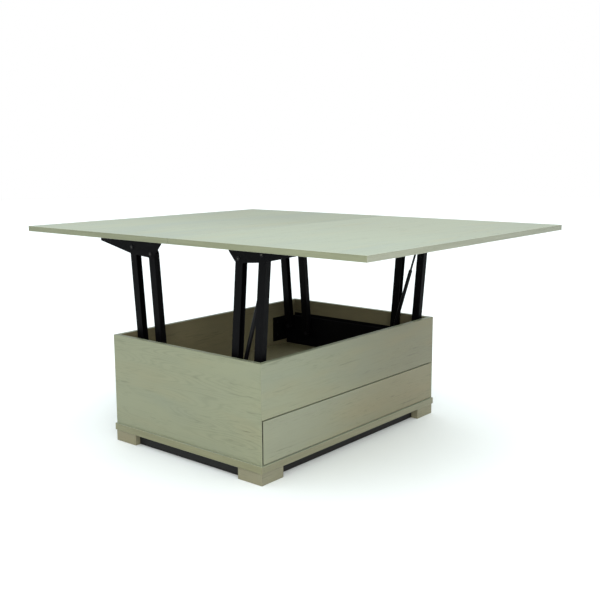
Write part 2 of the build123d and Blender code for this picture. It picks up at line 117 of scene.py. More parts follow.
class Graph:
    """The shader nodes of one material or of the world."""

    def __init__(self, owner):
        owner.use_nodes = True
        self.tree = owner.node_tree
        self.tree.nodes.clear()

    def add(self, kind, settings=None, sockets=None, output=0):
        """A node of that kind, its settings set first, then its sockets given values or links."""
        node = self.tree.nodes.new("ShaderNode" + kind)
        for name, setting in (settings or {}).items():
            setattr(node, name, setting)
        for name, value in (sockets or {}).items():
            if isinstance(value, Value):
                self.tree.links.new(value.socket, node.inputs[name])
            else:
                node.inputs[name].default_value = value
        return Value(self, node, output) if node.outputs else None

    def mix(self, share, first, second, blend="MIX"):
        """Two colours mixed: Mix keeps its colour sockets at 6 and 7 and its colour result at 2."""
        return self.add("Mix", {"data_type": "RGBA", "blend_type": blend},
                        {0: share, 6: first, 7: second}, 2)

    def stretch(self, place, scales):
        """Object coordinates multiplied by one scale for each axis."""
        return self.add("VectorMath", {"operation": "MULTIPLY"}, {0: place, 1: scales})

    def noise(self, place, scale=1.0, detail=2.0, roughness=0.5, distortion=0.0):
        return self.add("TexNoise", {"noise_dimensions": "3D"}, {
            "Vector": place, "Scale": scale, "Detail": detail,
            "Roughness": roughness, "Distortion": distortion})

    def bump(self, height, strength, distance):
        return self.add("Bump", None, {"Height": height, "Strength": strength, "Distance": distance})

    def finish(self, sockets):
        """The surface itself: a Principled shader with those sockets, joined to the output."""
        surface = self.add("BsdfPrincipled", None, sockets)
        self.add("OutputMaterial", None, {"Surface": surface})


def begin(name):
    """A new material, its shader nodes, and the object coordinates that its patterns read."""
    material = bpy.data.materials.new(name)
    graph = Graph(material)
    return material, graph, graph.add("TexCoord", output="Object")


# ---- light: a bright, slightly cool ceiling over a dim room whose walls the camera sees white
ceiling_light = (1.72, 1.86, 1.90, 1.0)
wall_light = (0.24, 0.24, 0.22, 1.0)
seen_white = (1.0, 1.0, 1.0, 1.0)

world = bpy.data.worlds.new("studio")
bpy.context.scene.world = world
studio = Graph(world)
sky_height = studio.add("SeparateXYZ", None, {0: studio.add("TexCoord")}, 2)
room_light = studio.mix(sky_height.step(0.05, 0.85), wall_light, ceiling_light)
seen = studio.add("LightPath")
studio.add("OutputWorld", None, {"Surface": studio.add("Background", None, {
    "Color": studio.mix(seen, room_light, seen_white), "Strength": 1.0})})


def softbox(name, place, target, size, power, colour):
    """A square soft light that faces its target."""
    data = bpy.data.lights.new(name, "AREA")
    data.size = size
    data.energy = power
    data.color = colour
    lamp = bpy.data.objects.new(name, data)
    lamp.location = place
    lamp.rotation_euler = (Vector(target) - Vector(place)).to_track_quat("-Z", "Y").to_euler()
    bpy.context.scene.collection.objects.link(lamp)


softbox("near_softbox", place=(-2.7, -2.5, 1.5), target=(-0.3, -0.1, 0.3),
        size=1.8, power=60.0, colour=(1.0, 0.985, 0.95))

# ---- floor: a pale sheet far wider than the view
floor_radius = 16.0
floor_mesh = bpy.data.meshes.new("floor")
shape = bmesh.new()
bmesh.ops.create_circle(shape, cap_ends=True, segments=96, radius=floor_radius)
shape.to_mesh(floor_mesh)
shape.free()
floor = bpy.data.objects.new("floor", floor_mesh)
bpy.context.scene.collection.objects.link(floor)

floor_paint, graph, place = begin("floor_paint")
paint_cloud = graph.noise(place, 0.8)
graph.finish({
    "Base Color": graph.mix(paint_cloud, (0.86, 0.86, 0.86, 1.0), (0.89, 0.89, 0.885, 1.0)),
    "Roughness": 0.9, "Specular IOR Level": 0.1})
floor_mesh.materials.append(floor_paint)

# =====================================================================================
# Base: a 23 mm board on four corner blocks, with black rails set back between the blocks.
# The boards are chipboard under a washed-oak laminate, their edges banded in the same oak;
# each block is held up to the board by two screws from below.
# =====================================================================================
oak_pale = (0.252, 0.268, 0.184, 1.0)
oak_warm = (0.260, 0.262, 0.172, 1.0)
oak_cool = (0.232, 0.252, 0.184, 1.0)
oak_line = (0.118, 0.120, 0.076, 1.0)
grain_turns = {"x": (0.0, 0.0, 0.0), "y": (0.0, 0.0, -pi / 2), "z": (0.0, pi / 2, 0.0)}


# how far each kind of mark darkens the oak, and where along X the painted shade towards the far end
# sets in
ring_depth, streak_depth, pore_depth, dash_depth, deepest_mark = 0.30, 0.14, 0.30, 0.40, 0.85
growth_lines = 300.0
painted_shade_from, painted_shade_to, painted_shade_waver = -0.25, 0.42, 0.24


def oak(name, grain, shift=(0.0, 0.0, 0.0), figure=0.5, tint=(1.0, 1.0, 1.0), gloss=0.40,
        far_painted_shade=None):
    """Washed-oak laminate with its grain along one axis.

    shift moves the pattern so that two boards differ, figure is how strong the growth lines are,
    tint colours the whole board, and the far colour, if given, is painted shade that darkens the board
    towards its right-hand end."""
    material = bpy.data.materials.new(name)
    graph = Graph(material)
    place = graph.add("Mapping", {"vector_type": "POINT"}, {
        "Vector": graph.add("TexCoord", output="Object"),
        "Rotation": grain_turns[grain], "Location": shift})

    # slow drift between greenish and warm patches, drawn out along the grain
    drift = graph.noise(graph.stretch(place, (1.6, 6.5, 6.5)), 1.0, 3.0, 0.55)
    colour = graph.mix(drift.step(0.34, 0.60), oak_cool, oak_pale)
    warm = graph.noise(graph.stretch(place, (2.3, 13.0, 13.0)), 1.0, 2.0, 0.5)
    colour = graph.mix(warm.step(0.50, 0.72) * 0.75, colour, oak_warm)

    # growth lines: contour lines of a stretched field, closing into loops as in a flat-sawn board
    waver = graph.noise(graph.stretch(place, (9.0, 60.0, 60.0)), 1.0, 2.0, 0.5)
    field = graph.noise(graph.stretch(place, (1.1, 10.5, 10.5)), 1.0, 1.5, 0.45, 0.2) + waver * 0.020
    ring = field.math("SINE", field * growth_lines) * 0.5 + 0.5
    ring_share = graph.noise(graph.stretch(place, (3.0, 9.0, 9.0)), 1.0, 2.0, 0.6).step(0.42, 0.68)
    rings = ring ** 3.0 * ring_share * figure

    # fibres: long thin streaks, and short dark pores between them
    fibre = graph.noise(graph.stretch(place, (5.0, 230.0, 230.0)), 1.0, 3.0, 0.6)
    streak = fibre.step(0.50, 0.78)
    patch = graph.noise(graph.stretch(place, (4.5, 22.0, 22.0)), 1.0, 2.0, 0.5).step(0.40, 0.66)
    pore = graph.noise(graph.stretch(place, (26.0, 620.0, 620.0)), 1.0, 1.0, 0.5)
    dash = graph.noise(graph.stretch(place, (11.0, 150.0, 150.0)), 1.0, 1.0, 0.4)
    pore, dash = pore.step(0.60, 0.70) * patch, dash.step(0.63, 0.75) * patch

    marks = rings * ring_depth + streak * streak_depth + pore * pore_depth + dash * dash_depth
    colour = graph.mix(marks.math("MINIMUM", marks, deepest_mark), colour, oak_line)
    colour = graph.mix(1.0, colour, (*tint, 1.0), "MULTIPLY")
    # painted shade: towards +X the board is tinted darker and warmer, where less light falls on it
    if far_painted_shade:
        across = graph.add("SeparateXYZ", None, {0: graph.add("TexCoord", output="Object")})
        across = across + drift * painted_shade_waver
        share = across.step(painted_shade_from, painted_shade_to)
        colour = graph.mix(share, colour, graph.mix(1.0, colour, (*far_painted_shade, 1.0), "MULTIPLY"))

    relief = 0.5 - pore * 0.30 - streak * 0.10 - rings * 0.10
    bump = graph.bump(relief, 0.35, 0.0004)
    graph.finish({
        "Base Color": colour, "Roughness": gloss + streak * 0.08 + pore * 0.15,
        "Normal": bump, "Specular IOR Level": 0.42})
    return material


band_dark = (0.225, 0.238, 0.160, 1.0)
band_light = (0.255, 0.268, 0.184, 1.0)


def banding(name, grain, shift=(0.0, 0.0, 0.0), tint=(1.0, 1.0, 1.0)):
    """Edge banding: the same oak printed on a plastic strip, plainer and a little more olive."""
    material = bpy.data.materials.new(name)
    graph = Graph(material)
    place = graph.add("Mapping", {"vector_type": "POINT"}, {
        "Vector": graph.add("TexCoord", output="Object"),
        "Rotation": grain_turns[grain], "Location": shift})
    tone = graph.noise(graph.stretch(place, (3.0, 60.0, 60.0)), 1.0, 2.0, 0.5)
    fibre = graph.noise(graph.stretch(place, (7.0, 420.0, 420.0)), 1.0, 2.0, 0.55)
    streak = fibre.step(0.48, 0.74)
    colour = graph.mix(tone.step(0.35, 0.68), band_dark, band_light)
    colour = graph.mix(streak * 0.22, colour, oak_line)
    colour = graph.mix(1.0, colour, (*tint, 1.0), "MULTIPLY")
    bump = graph.bump(0.5 - streak * 0.2, 0.25, 0.0003)
    graph.finish({
        "Base Color": colour, "Roughness": 0.36 + streak * 0.10,
        "Normal": bump, "Specular IOR Level": 0.45})
    return material


hair = 1e-5                  # two places closer than this, in metres, are the same place
flat_angle = radians(0.4)    # faces that turn less than this are one flat area
crease_angle = radians(38.0)  # edges that turn more than this stay sharp in the shading

# radii of softened edges: broken edges of boards, and edges of sheet steel after tumbling
laminate_edge, melamine_edge, rail_edge = 0.0006, 0.0005, 0.0008
steel_edge, thin_edge = 0.0005, 0.0003


def merged(node):
    """A copy of a CAD node's mesh as one skin, its flat areas joined into single faces."""
    shape = bmesh.new()
    shape.from_mesh(nodes[node].data)
    bmesh.ops.remove_doubles(shape, verts=shape.verts, dist=2e-6)
    bmesh.ops.dissolve_limit(shape, angle_limit=flat_angle, verts=shape.verts, edges=shape.edges)
    shape.normal_update()
    return shape


def soften(shape, width, segments=2, chosen=None, least=35.0):
    """Round the edges that turn more than that many degrees, or only the chosen ones of them."""
    edges = [e for e in shape.edges if e.is_manifold and e.calc_face_angle() > radians(least)
             and (chosen is None or chosen(e))]
    if edges:
        bmesh.ops.bevel(shape, geom=edges, offset=width, offset_type="OFFSET", segments=segments,
                        profile=0.5, affect="EDGES", clamp_overlap=False)
    shape.normal_update()


def piece(name, shape, body, replaced, materials, facing=None):
    """Finish a shape as a piece of the table that stands for CAD nodes.

    facing picks the material of each face by the axis it faces most, one number for each axis."""
    mesh = bpy.data.meshes.new(name)
    if facing:
        for face in shape.faces:
            sizes = [abs(part) for part in face.normal]
            face.material_index = facing[sizes.index(max(sizes))]
    for face in shape.faces:
        face.smooth = True
    shape.to_mesh(mesh)
    shape.free()
    mesh.set_sharp_from_angle(angle=crease_angle)
    for material in materials:
        mesh.materials.append(material)
    made = bpy.data.objects.new(name, mesh)
    bpy.context.scene.collection.objects.link(made)
    evened = made.modifiers.new("even_shading", "WEIGHTED_NORMAL")
    evened.keep_sharp = True
    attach(made, body)
    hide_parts(*replaced)
    return made


band_x = banding("oak_banding_along_x", "x")
band_y = banding("oak_banding_along_y", "y", (0.3, 0.1, 0.0))
band_z = banding("oak_banding_upright", "z", (0.1, 0.5, 0.0))
base_oak = oak("oak_base_board", "x", (0.4, 2.1, 0.7), figure=0.3)
base_band_x = banding("oak_base_banding_along_x", "x", (0.2, 0.4, 0.1), (0.84, 0.76, 0.70))
base_band_y = banding("oak_base_banding_along_y", "y", (0.6, 0.2, 0.3), (0.80, 0.74, 0.60))

shape = merged("base_board")
piece("base_board_oak", shape, "case", ["base_board"],
      [base_oak, base_band_x, base_band_y], (2, 1, 0))

# painted shade: the feet are tinted darker and warmer than the board, for the shade under its overhang
foot_painted_shade_oak_x = oak("oak_feet_painted_shade_along_x", "x", (1.7, 0.9, 0.2),
                 figure=0.25, tint=(0.86, 0.76, 0.72), gloss=0.5)
foot_painted_shade_oak_y = oak("oak_feet_painted_shade_along_y", "y", (0.8, 1.3, 0.5),
                 figure=0.25, tint=(0.86, 0.75, 0.68), gloss=0.5)
for foot in ("front_left", "front_right", "back_left", "back_right"):
    shape = merged("foot_" + foot)
    piece("foot_oak_" + foot, shape, "case", ["foot_" + foot],
          [foot_painted_shade_oak_x, foot_painted_shade_oak_y], (1, 0, 0))

black_board, graph, place = begin("black_board")
mottle = graph.noise(place, 240.0, 3.0, 0.6)
scuff = graph.noise(graph.stretch(place, (14.0, 14.0, 160.0)), 1.0, 2.0)
graph.finish({
    "Base Color": graph.mix(mottle, (0.006, 0.006, 0.006, 1.0), (0.014, 0.013, 0.012, 1.0)),
    "Roughness": 0.46 + scuff * 0.14, "Specular IOR Level": 0.22,
    "Normal": graph.bump(mottle, 0.2, 0.0002)})
for rail in ("front", "back", "left", "right"):
    shape = merged("plinth_rail_" + rail)
    soften(shape, rail_edge)
    piece("plinth_rail_black_" + rail, shape, "case",
          ["plinth_rail_" + rail], [black_board])

# =====================================================================================
# Case: two sides, a front rail above the drawer and a back, 16 mm laminated board, with the
# visible corners mitred and glued and the rim banded.  A floor board closes the storage well.
# =====================================================================================
side_oaks = {
    "left": oak("oak_side_left", "y", (0.05, 0.30, 0.40), figure=0.9, tint=(0.88, 0.87, 0.80)),
    "right": oak("oak_side_right", "y", (1.35, 2.20, 0.10), figure=0.8, tint=(0.92, 0.90, 0.84)),
}
# painted shade: the inside of the well is tinted darker and warmer, where the top and the walls keep
# the light out
well_painted_shade = (0.74, 0.60, 0.50)
well_painted_shade_oak_x = oak("oak_inside_painted_shade_along_x", "x", (1.90, 0.25, 0.60), 0.4, well_painted_shade, gloss=0.5)
well_painted_shade_oak_y = oak("oak_inside_painted_shade_along_y", "y", (0.70, 1.15, 0.80), 0.4, well_painted_shade, gloss=0.5)
squarely = 0.9    # a face looks along an axis when this much of its normal does


def paint_shade_inside(made, axis, way):
    """Give the faces that look into the well the last material of the piece, the oak with painted
    shade.
    """
    for face in made.data.polygons:
        if face.normal[axis] * way > squarely:
            face.material_index = len(made.data.materials) - 1


for side, side_oak in side_oaks.items():
    shape = merged("case_side_" + side)
    soften(shape, laminate_edge)
    made = piece("case_side_oak_" + side, shape, "case", ["case_side_" + side],
                 [side_oak, band_z, band_y, well_painted_shade_oak_y], (0, 1, 2))
    paint_shade_inside(made, 0, 1 if side == "left" else -1)

# painted shade for the fronts: darker and warmer towards their right-hand ends, where less light falls
front_far_painted_shade = (0.76, 0.68, 0.60)
case_boards = {
    "case_upper_front": (oak("oak_upper_front", "x", (0.62, 0.15, 0.33),
                             figure=0.35, tint=(0.95, 0.94, 0.92), far_painted_shade=front_far_painted_shade), 1, 1),
    "case_back": (oak("oak_back", "x", (1.10, 0.55, 1.30),
                      figure=0.6, tint=(0.92, 0.90, 0.84)), 1, -1),
    "compartment_floor": (oak("oak_well_floor_painted_shade", "x", (2.30, 1.75, 0.90),
                              figure=0.4, tint=well_painted_shade), 2, 1),
}
for node, (board_oak, axis, way) in case_boards.items():
    shape = merged(node)
    soften(shape, laminate_edge)
    facing = (1, 1, 0) if node == "compartment_floor" else (1, 0, 1)
    made = piece(node + "_oak", shape, "case", [node],
                 [board_oak, band_x, well_painted_shade_oak_x], facing)
    paint_shade_inside(made, axis, way)

# =====================================================================================
# Drawer: a laminated front with bevelled ends on a melamine box, the bottom let into grooves.
# It has no handle.  Three-part steel runners carry it; their middle members travel half way.
# =====================================================================================
drawer_oak = oak("oak_drawer_front", "x", (0.28, 1.42, 0.77),
                 figure=0.4, tint=(1.03, 0.98, 0.95), far_painted_shade=front_far_painted_shade)
shape = merged("drawer_front")
soften(shape, laminate_edge)
piece("drawer_front_oak", shape, "drawer", ["drawer_front"],
      [drawer_oak, band_x], (0, 0, 1))

melamine, graph, place = begin("drawer_melamine")
print_lines = graph.noise(graph.stretch(place, (190.0, 6.0, 190.0)), 1.0, 3.0, 0.6)
cloud = graph.noise(place, 5.0, 3.0, 0.5)
pebble = graph.noise(place, 1400.0, 2.0, 0.5)
graph.finish({
    "Base Color": graph.mix(print_lines.step(0.40, 0.75) * 0.5 + cloud * 0.3,
                            (0.50, 0.50, 0.42, 1.0), (0.40, 0.39, 0.32, 1.0)),
    "Roughness": 0.48 + pebble * 0.14, "Specular IOR Level": 0.4,
    "Normal": graph.bump(pebble, 0.12, 0.0002)})
for node in ("drawer_side_left", "drawer_side_right", "drawer_back", "drawer_bottom"):
    shape = merged(node)
    soften(shape, melamine_edge)
    piece(node + "_melamine", shape, "drawer", [node], [melamine])


def metal(name, light, dark, grain_scale, polish, spread, brushed=(1.0, 1.0, 1.0)):
    """Plated or bare steel: two tones, with blotches and fine working marks.

    polish is the least roughness, and spread is how much the blotches and the marks add to it."""
    material, graph, place = begin(name)
    blotch = graph.noise(place, 60.0, 3.0, 0.6)
    mark = graph.noise(graph.stretch(place, brushed), grain_scale, 2.0, 0.6)
    graph.finish({
        "Base Color": graph.mix(blotch.step(0.35, 0.70) * 0.6 + mark * 0.3, light, dark),
        "Metallic": 1.0, "Roughness": polish + blotch * spread + mark * spread,
        "Normal": graph.bump(mark, 0.10, 0.0001)})
    return material


runner_zinc = metal("runner_zinc_plate", (0.60, 0.61, 0.63, 1.0), (0.42, 0.43, 0.45, 1.0),
                    grain_scale=700.0, polish=0.22, spread=0.14, brushed=(1.0, 0.08, 1.0))
for part, body in (("fixed", "case"), ("middle", "runner_middle_"), ("moving", "drawer")):
    for side in ("left", "right"):
        node = f"runner_{part}_{side}"
        shape = merged(node)
        soften(shape, thin_edge, 1)
        riding = body + side if part == "middle" else body
        piece(node + "_steel", shape, riding, [node], [runner_zinc])

# =====================================================================================
# Base frames: one 3 mm steel channel along each side wall, folded up from a flat blank, with
# an ear at each end for the front and back boards.  Black powder coat.
# =====================================================================================
powder_coat, graph, place = begin("black_powder_coat")
peel = graph.noise(place, 900.0, 2.0, 0.5)
wipe = graph.noise(place, 22.0, 3.0, 0.6)
graph.finish({
    "Base Color": graph.mix(wipe, (0.0012, 0.0012, 0.0015, 1.0), (0.0026, 0.0024, 0.0032, 1.0)),
    "Roughness": 0.40 + wipe * 0.14 + peel * 0.10, "Specular IOR Level": 0.06,
    "Normal": graph.bump(peel, 0.28, 0.00025)})

sheet = 0.003           # thickness of the frames and the brackets, also their outer fold radius
inner_fold = 0.0012     # radius inside their folds
channel_width = 0.055   # the foot of a frame, from the side wall inwards
cheek_edge = 0.0009     # radius of an arm's outer edges


def along(axis, *lines):
    """Picks the edges that run along an axis through given places on the other two axes."""
    others = [i for i in range(3) if i != axis]

    def test(edge):
        a, b = (v.co for v in edge.verts)
        if any(abs(a[i] - b[i]) > hair for i in others):
            return False
        return any(all(abs(abs(a[i]) - abs(at)) < hair for i, at in zip(others, line))
                   for line in lines)
    return test


for side in ("left", "right"):
    node = "base_frame_" + side
    low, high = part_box(node)
    shape = merged(node)
    outer_web = max(abs(low.x), abs(high.x))
    inner_web = outer_web - channel_width
    floor_line = low.z
    soften(shape, sheet, 3, along(1, (outer_web, floor_line), (inner_web, floor_line)))
    soften(shape, inner_fold, 2, along(1, (outer_web - sheet, floor_line + sheet),
                                       (inner_web + sheet, floor_line + sheet)))
    soften(shape, steel_edge)
    piece(node + "_steel", shape, "case", [node], [powder_coat])

# =====================================================================================
# Arms: steel channels 28 mm deep, folded from 2 mm sheet with rounded cheeks, four pairs, the
# open sides of a pair facing each other.  Both arms of a pair swing together, so the top
# rises level.  Black powder coat.
# =====================================================================================
pivots = {}
for unit, carrier in (("lift", "top_level"), ("support", "support_level")):
    upper_inner = joints[carrier]["pos_m"]
    lower_inner = joints["lift" if unit == "lift" else "support_arm_inner_left_hinge"]["pos_m"]
    lower_outer = joints[unit + "_arm_outer_left_hinge"]["pos_m"]
    rise = Vector(upper_inner) - Vector(lower_inner)
    upper_outer = Vector(lower_outer) + rise
    pivots[unit, "inner"] = ((lower_inner[1], lower_inner[2]), (upper_inner[1], upper_inner[2]))
    pivots[unit, "outer"] = ((lower_outer[1], lower_outer[2]), (upper_outer.y, upper_outer.z))

for unit in ("lift", "support"):
    for place_name in ("inner", "outer"):
        for side in ("left", "right"):
            node = f"{unit}_arm_{place_name}_{side}"
            low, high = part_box(node)
            shape = merged(node)
            soften(shape, cheek_edge, 3, lambda e: all(
                min(v.co.x - low.x, high.x - v.co.x) < hair for v in e.verts))
            soften(shape, thin_edge, 1)
            piece(node + "_channel", shape, node, [node], [powder_coat])

# =====================================================================================
# Brackets under the top: 3 mm plate with a lobe round each pivot and a flange folded along
# its upper edge.  The lift brackets are screwed to the front leaf; the support brackets carry
# the back leaf on rubber pads and are tied across the table by a square tube.
# =====================================================================================
for unit, body in (("lift", "raised_top"), ("support", "support_carrier")):
    for side in ("left", "right"):
        node = f"{unit}_bracket_{side}"
        low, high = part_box(node)
        outer = max(abs(low.x), abs(high.x))
        shape = merged(node)
        soften(shape, sheet, 3, along(1, (outer, high.z)))
        soften(shape, inner_fold, 2, along(1, (outer - sheet, high.z - sheet)))
        soften(shape, steel_edge)
        piece(node + "_plate", shape, body, [node], [powder_coat])

shape = merged("support_crossbar")
soften(shape, thin_edge, 1)
piece("support_crossbar_tube", shape, "support_carrier",
      ["support_crossbar"], [powder_coat])

rubber, graph, place = begin("pad_rubber")
grit = graph.noise(place, 1100.0, 3.0, 0.6)
bloom = graph.noise(place, 90.0, 2.0, 0.5)
graph.finish({
    "Base Color": graph.mix(bloom, (0.012, 0.012, 0.012, 1.0), (0.028, 0.027, 0.026, 1.0)),
    "Roughness": 0.68 + grit * 0.2, "Specular IOR Level": 0.3,
    "Normal": graph.bump(grit, 0.3, 0.0002)})
pad_edge = 0.0007
shape = merged("support_pads")
soften(shape, pad_edge, 3)
piece("support_pads_rubber", shape, "support_carrier", ["support_pads"], [rubber])

# =====================================================================================
# Pivot pins: shouldered steel pins with spacer collars, peened over the plates.  Their flanks
# are blackened with the frame; the peened ends are left bright.
# =====================================================================================
blackened, graph, place = begin("blackened_steel")
ringed = graph.noise(graph.stretch(place, (900.0, 40.0, 40.0)), 1.0, 2.0, 0.5)
graph.finish({
    "Base Color": graph.mix(ringed, (0.003, 0.003, 0.004, 1.0), (0.009, 0.009, 0.010, 1.0)),
    "Roughness": 0.34 + ringed * 0.16, "Specular IOR Level": 0.15,
    "Normal": graph.bump(ringed, 0.15, 0.0001)})
pin_bodies = {"lift_lower_pins": "case", "support_lower_pins": "case",
              "lift_upper_pins": "raised_top", "support_upper_pins": "support_carrier"}
for node, body in pin_bodies.items():
    shape = merged(node)
    soften(shape, steel_edge, 2)
    piece(node + "_steel", shape, body, [node], [blackened])

# =====================================================================================
# Gas struts: a black steel cylinder with a rolled end and a plastic seal, a black nitrided rod,
# and an eye at each end.  They run from the inner lower pivot to the outer upper pivot.
# =====================================================================================
eye_half, eye_radius, pin_hole = 0.004, 0.008, 0.0041
eye_reach = 0.0065              # where a tube or a rod starts, inside its eye
cylinder_length, cylinder_bore = 0.252, 0.0050
seal_radius, seal_depth = 0.0039, 0.0080
neck_radius = 0.0040            # between a cylinder and its eye, and past the collar of a rod
rod_radius, collar_radius = 0.00375, 0.0052
collar_gap = 0.1215             # from the cylinder's mouth to the collar, with the top down
stub_radius, stub_reach = 0.0040, 0.003


def turned(shape, profile, origin, axis, sides=40, ring=False):
    """Spin a profile of (distance along the axis, radius) pairs.

    With ring, the last pair is joined to the first."""
    axis = Vector(axis).normalized()
    across = axis.orthogonal().normalized()
    upward = axis.cross(across)
    rows = []
    for distance, radius in profile:
        centre = Vector(origin) + axis * distance
        if radius < 1e-7:
            rows.append([shape.verts.new(centre)])
            continue
        rows.append([shape.verts.new(centre + (across * cos(2 * pi * i / sides)
                                               + upward * sin(2 * pi * i / sides)) * radius)
                     for i in range(sides)])
    pairs = list(zip(rows, rows[1:])) + ([(rows[-1], rows[0])] if ring else [])
    for near, far in pairs:
        for i in range(sides):
            j = (i + 1) % sides
            corners = [near[i % len(near)], near[j % len(near)], far[j % len(far)], far[i % len(far)]]
            shape.faces.new(list(dict.fromkeys(corners)))


def eye(shape, centre, x_from, x_to, radius, hole):
    """A ring along X with rounded lips."""
    lip = 0.0008
    bend = lip * 0.3
    turned(shape, [
        (x_from, hole + lip), (x_from, radius - lip), (x_from + bend, radius - bend),
        (x_from + lip, radius), (x_to - lip, radius), (x_to - bend, radius - bend),
        (x_to, radius - lip), (x_to, hole + lip), (x_to - lip, hole), (x_from + lip, hole)],
           (0.0, centre[0], centre[1]), (1, 0, 0), ring=True)


def span(node, origin, axis):
    """Where a CAD node starts and ends along an axis."""
    reach = [(v.co - origin).dot(axis) for v in nodes[node].data.vertices]
    return min(reach), max(reach)


strut_paint, graph, place = begin("strut_black_enamel")
flow = graph.noise(graph.stretch(place, (60.0, 60.0, 9.0)), 1.0, 3.0, 0.5)
graph.finish({
    "Base Color": graph.mix(flow, (0.0020, 0.0020, 0.0026, 1.0), (0.0045, 0.0042, 0.0055, 1.0)),
    "Roughness": 0.26 + flow * 0.16, "Specular IOR Level": 0.14,
    "Normal": graph.bump(flow, 0.06, 0.0003)})
nitrided, graph, place = begin("rod_black_nitrided")
drawn = graph.noise(graph.stretch(place, (260.0, 260.0, 20.0)), 1.0, 2.0, 0.5)
graph.finish({
    "Base Color": graph.mix(drawn, (0.004, 0.004, 0.005, 1.0), (0.010, 0.010, 0.011, 1.0)),
    "Roughness": 0.22 + drawn * 0.12, "Specular IOR Level": 0.2,
    "Normal": graph.bump(drawn, 0.05, 0.0001)})

strut_foot = Vector(joints["strut_swing_left"]["pos_m"])
stroke = Vector(joints["strut_stroke_left"]["axis"])
head_y, head_z = pivots["lift", "outer"][1]
strut_reach = (Vector((0.0, head_y, head_z)) - strut_foot).length
for side in ("left", "right"):
    tube, rod = "strut_cylinder_" + side, "strut_rod_" + side
    low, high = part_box(tube)
    strut_x = (low.x + high.x) / 2
    foot = Vector((strut_x, strut_foot.y, strut_foot.z))
    body_end = span(tube, foot, stroke)[1]
    wide = (high.x - low.x) / 2
    body_start = body_end - cylinder_length

    shape = bmesh.new()
    turned(shape, [
        (eye_reach, 0.0), (eye_reach, neck_radius), (body_start - 0.002, neck_radius),
        # the closed end, drawn in to the neck
        (body_start, neck_radius + 0.0004), (body_start + 0.0006, wide - 0.0013),
        (body_start + 0.0020, wide - 0.0004), (body_start + 0.0038, wide),
        # a groove rolled in round the seal
        (body_end - 0.0125, wide), (body_end - 0.0120, wide - 0.0005),
        (body_end - 0.0105, wide - 0.0005), (body_end - 0.0100, wide),
        # the mouth, curled in, and the bore behind the seal
        (body_end - 0.0022, wide), (body_end - 0.0008, wide - 0.0006),
        (body_end, wide - 0.0020), (body_end, seal_radius), (body_end - seal_depth, seal_radius),
        (body_end - seal_depth, cylinder_bore), (body_start + 0.0100, cylinder_bore),
        (body_start + 0.0100, 0.0)], foot, stroke)
    eye(shape, (foot.y, foot.z), strut_x - eye_half, strut_x + eye_half, eye_radius, pin_hole)
    bmesh.ops.recalc_face_normals(shape, faces=shape.faces)
    piece(tube + "_enamelled", shape, tube, [tube], [strut_paint])

    shape = bmesh.new()
    rod_start = span(rod, foot, stroke)[0]
    collar = body_end + collar_gap
    turned(shape, [
        (rod_start, 0.0), (rod_start, 0.0034), (rod_start + 0.0006, rod_radius),
        (collar, rod_radius), (collar + 0.0002, 0.0046), (collar + 0.0010, collar_radius),
        (collar + 0.0070, collar_radius), (collar + 0.0078, 0.0046),
        (collar + 0.0090, neck_radius), (strut_reach - eye_reach, neck_radius),
        (strut_reach - eye_reach, 0.0)], foot, stroke)
    head = foot + stroke * strut_reach
    eye(shape, (head.y, head.z), strut_x - eye_half, strut_x + eye_half, eye_radius, pin_hole)
    rod_low, rod_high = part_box(rod)
    pin_from, pin_to = rod_low.x, strut_x + stub_reach
    if side == "right":
        pin_from, pin_to = strut_x - stub_reach, rod_high.x
    turned(shape, [
        (pin_from, 0.0), (pin_from, 0.0036), (pin_from + 0.0004, stub_radius),
        (pin_to - 0.0004, stub_radius), (pin_to, 0.0036), (pin_to, 0.0)],
           (0.0, head.y, head.z), (1, 0, 0))
    bmesh.ops.recalc_face_normals(shape, faces=shape.faces)
    piece(rod + "_nitrided", shape, rod, [rod], [nitrided])

# =====================================================================================
# Tabletop: two equal leaves of 17 mm laminated board, banded all round.  The front leaf is
# fixed to the lift brackets; the back leaf folds forward over it on three concealed hinges.
# =====================================================================================
# painted light: the leaves are tinted much lighter and bluer than the same oak on the case, for the
# light and bluish sheen on the top; their far colours are painted shade, darker towards the right-hand
# end
leaf_oaks = {
    "front": oak("oak_leaf_front_painted_light", "x", (0.90, 0.20, 2.60), figure=0.20,
                 tint=(1.62, 1.65, 1.83), gloss=0.30, far_painted_shade=(0.95, 0.93, 0.92)),
    "back": oak("oak_leaf_back_painted_light", "x", (2.75, 1.60, 0.35), figure=0.20,
                tint=(1.60, 1.62, 1.80), gloss=0.30, far_painted_shade=(0.83, 0.82, 0.79)),
}
leaf_band_x = banding("oak_leaf_banding_along_x", "x", (0.5, 0.3, 0.2), (1.02, 0.99, 1.08))
leaf_band_y = banding("oak_leaf_banding_along_y", "y", (0.9, 0.2, 0.4), (0.80, 0.80, 0.72))
for leaf, body in (("front", "raised_top"), ("back", "back_leaf")):
    shape = merged("leaf_" + leaf)
    piece(f"leaf_{leaf}_oak", shape, body, ["leaf_" + leaf],
          [leaf_oaks[leaf], leaf_band_x, leaf_band_y], (2, 1, 0))

hinge_nickel = metal("hinge_nickel_plate", (0.64, 0.62, 0.58, 1.0), (0.46, 0.44, 0.40, 1.0),
                     grain_scale=900.0, polish=0.20, spread=0.10)
for leaf, body in (("front", "raised_top"), ("back", "back_leaf")):
    node = "leaf_hinge_plugs_" + leaf
    shape = merged(node)
    soften(shape, steel_edge, 2)
    piece(node + "_nickel", shape, body, [node], [hinge_nickel])

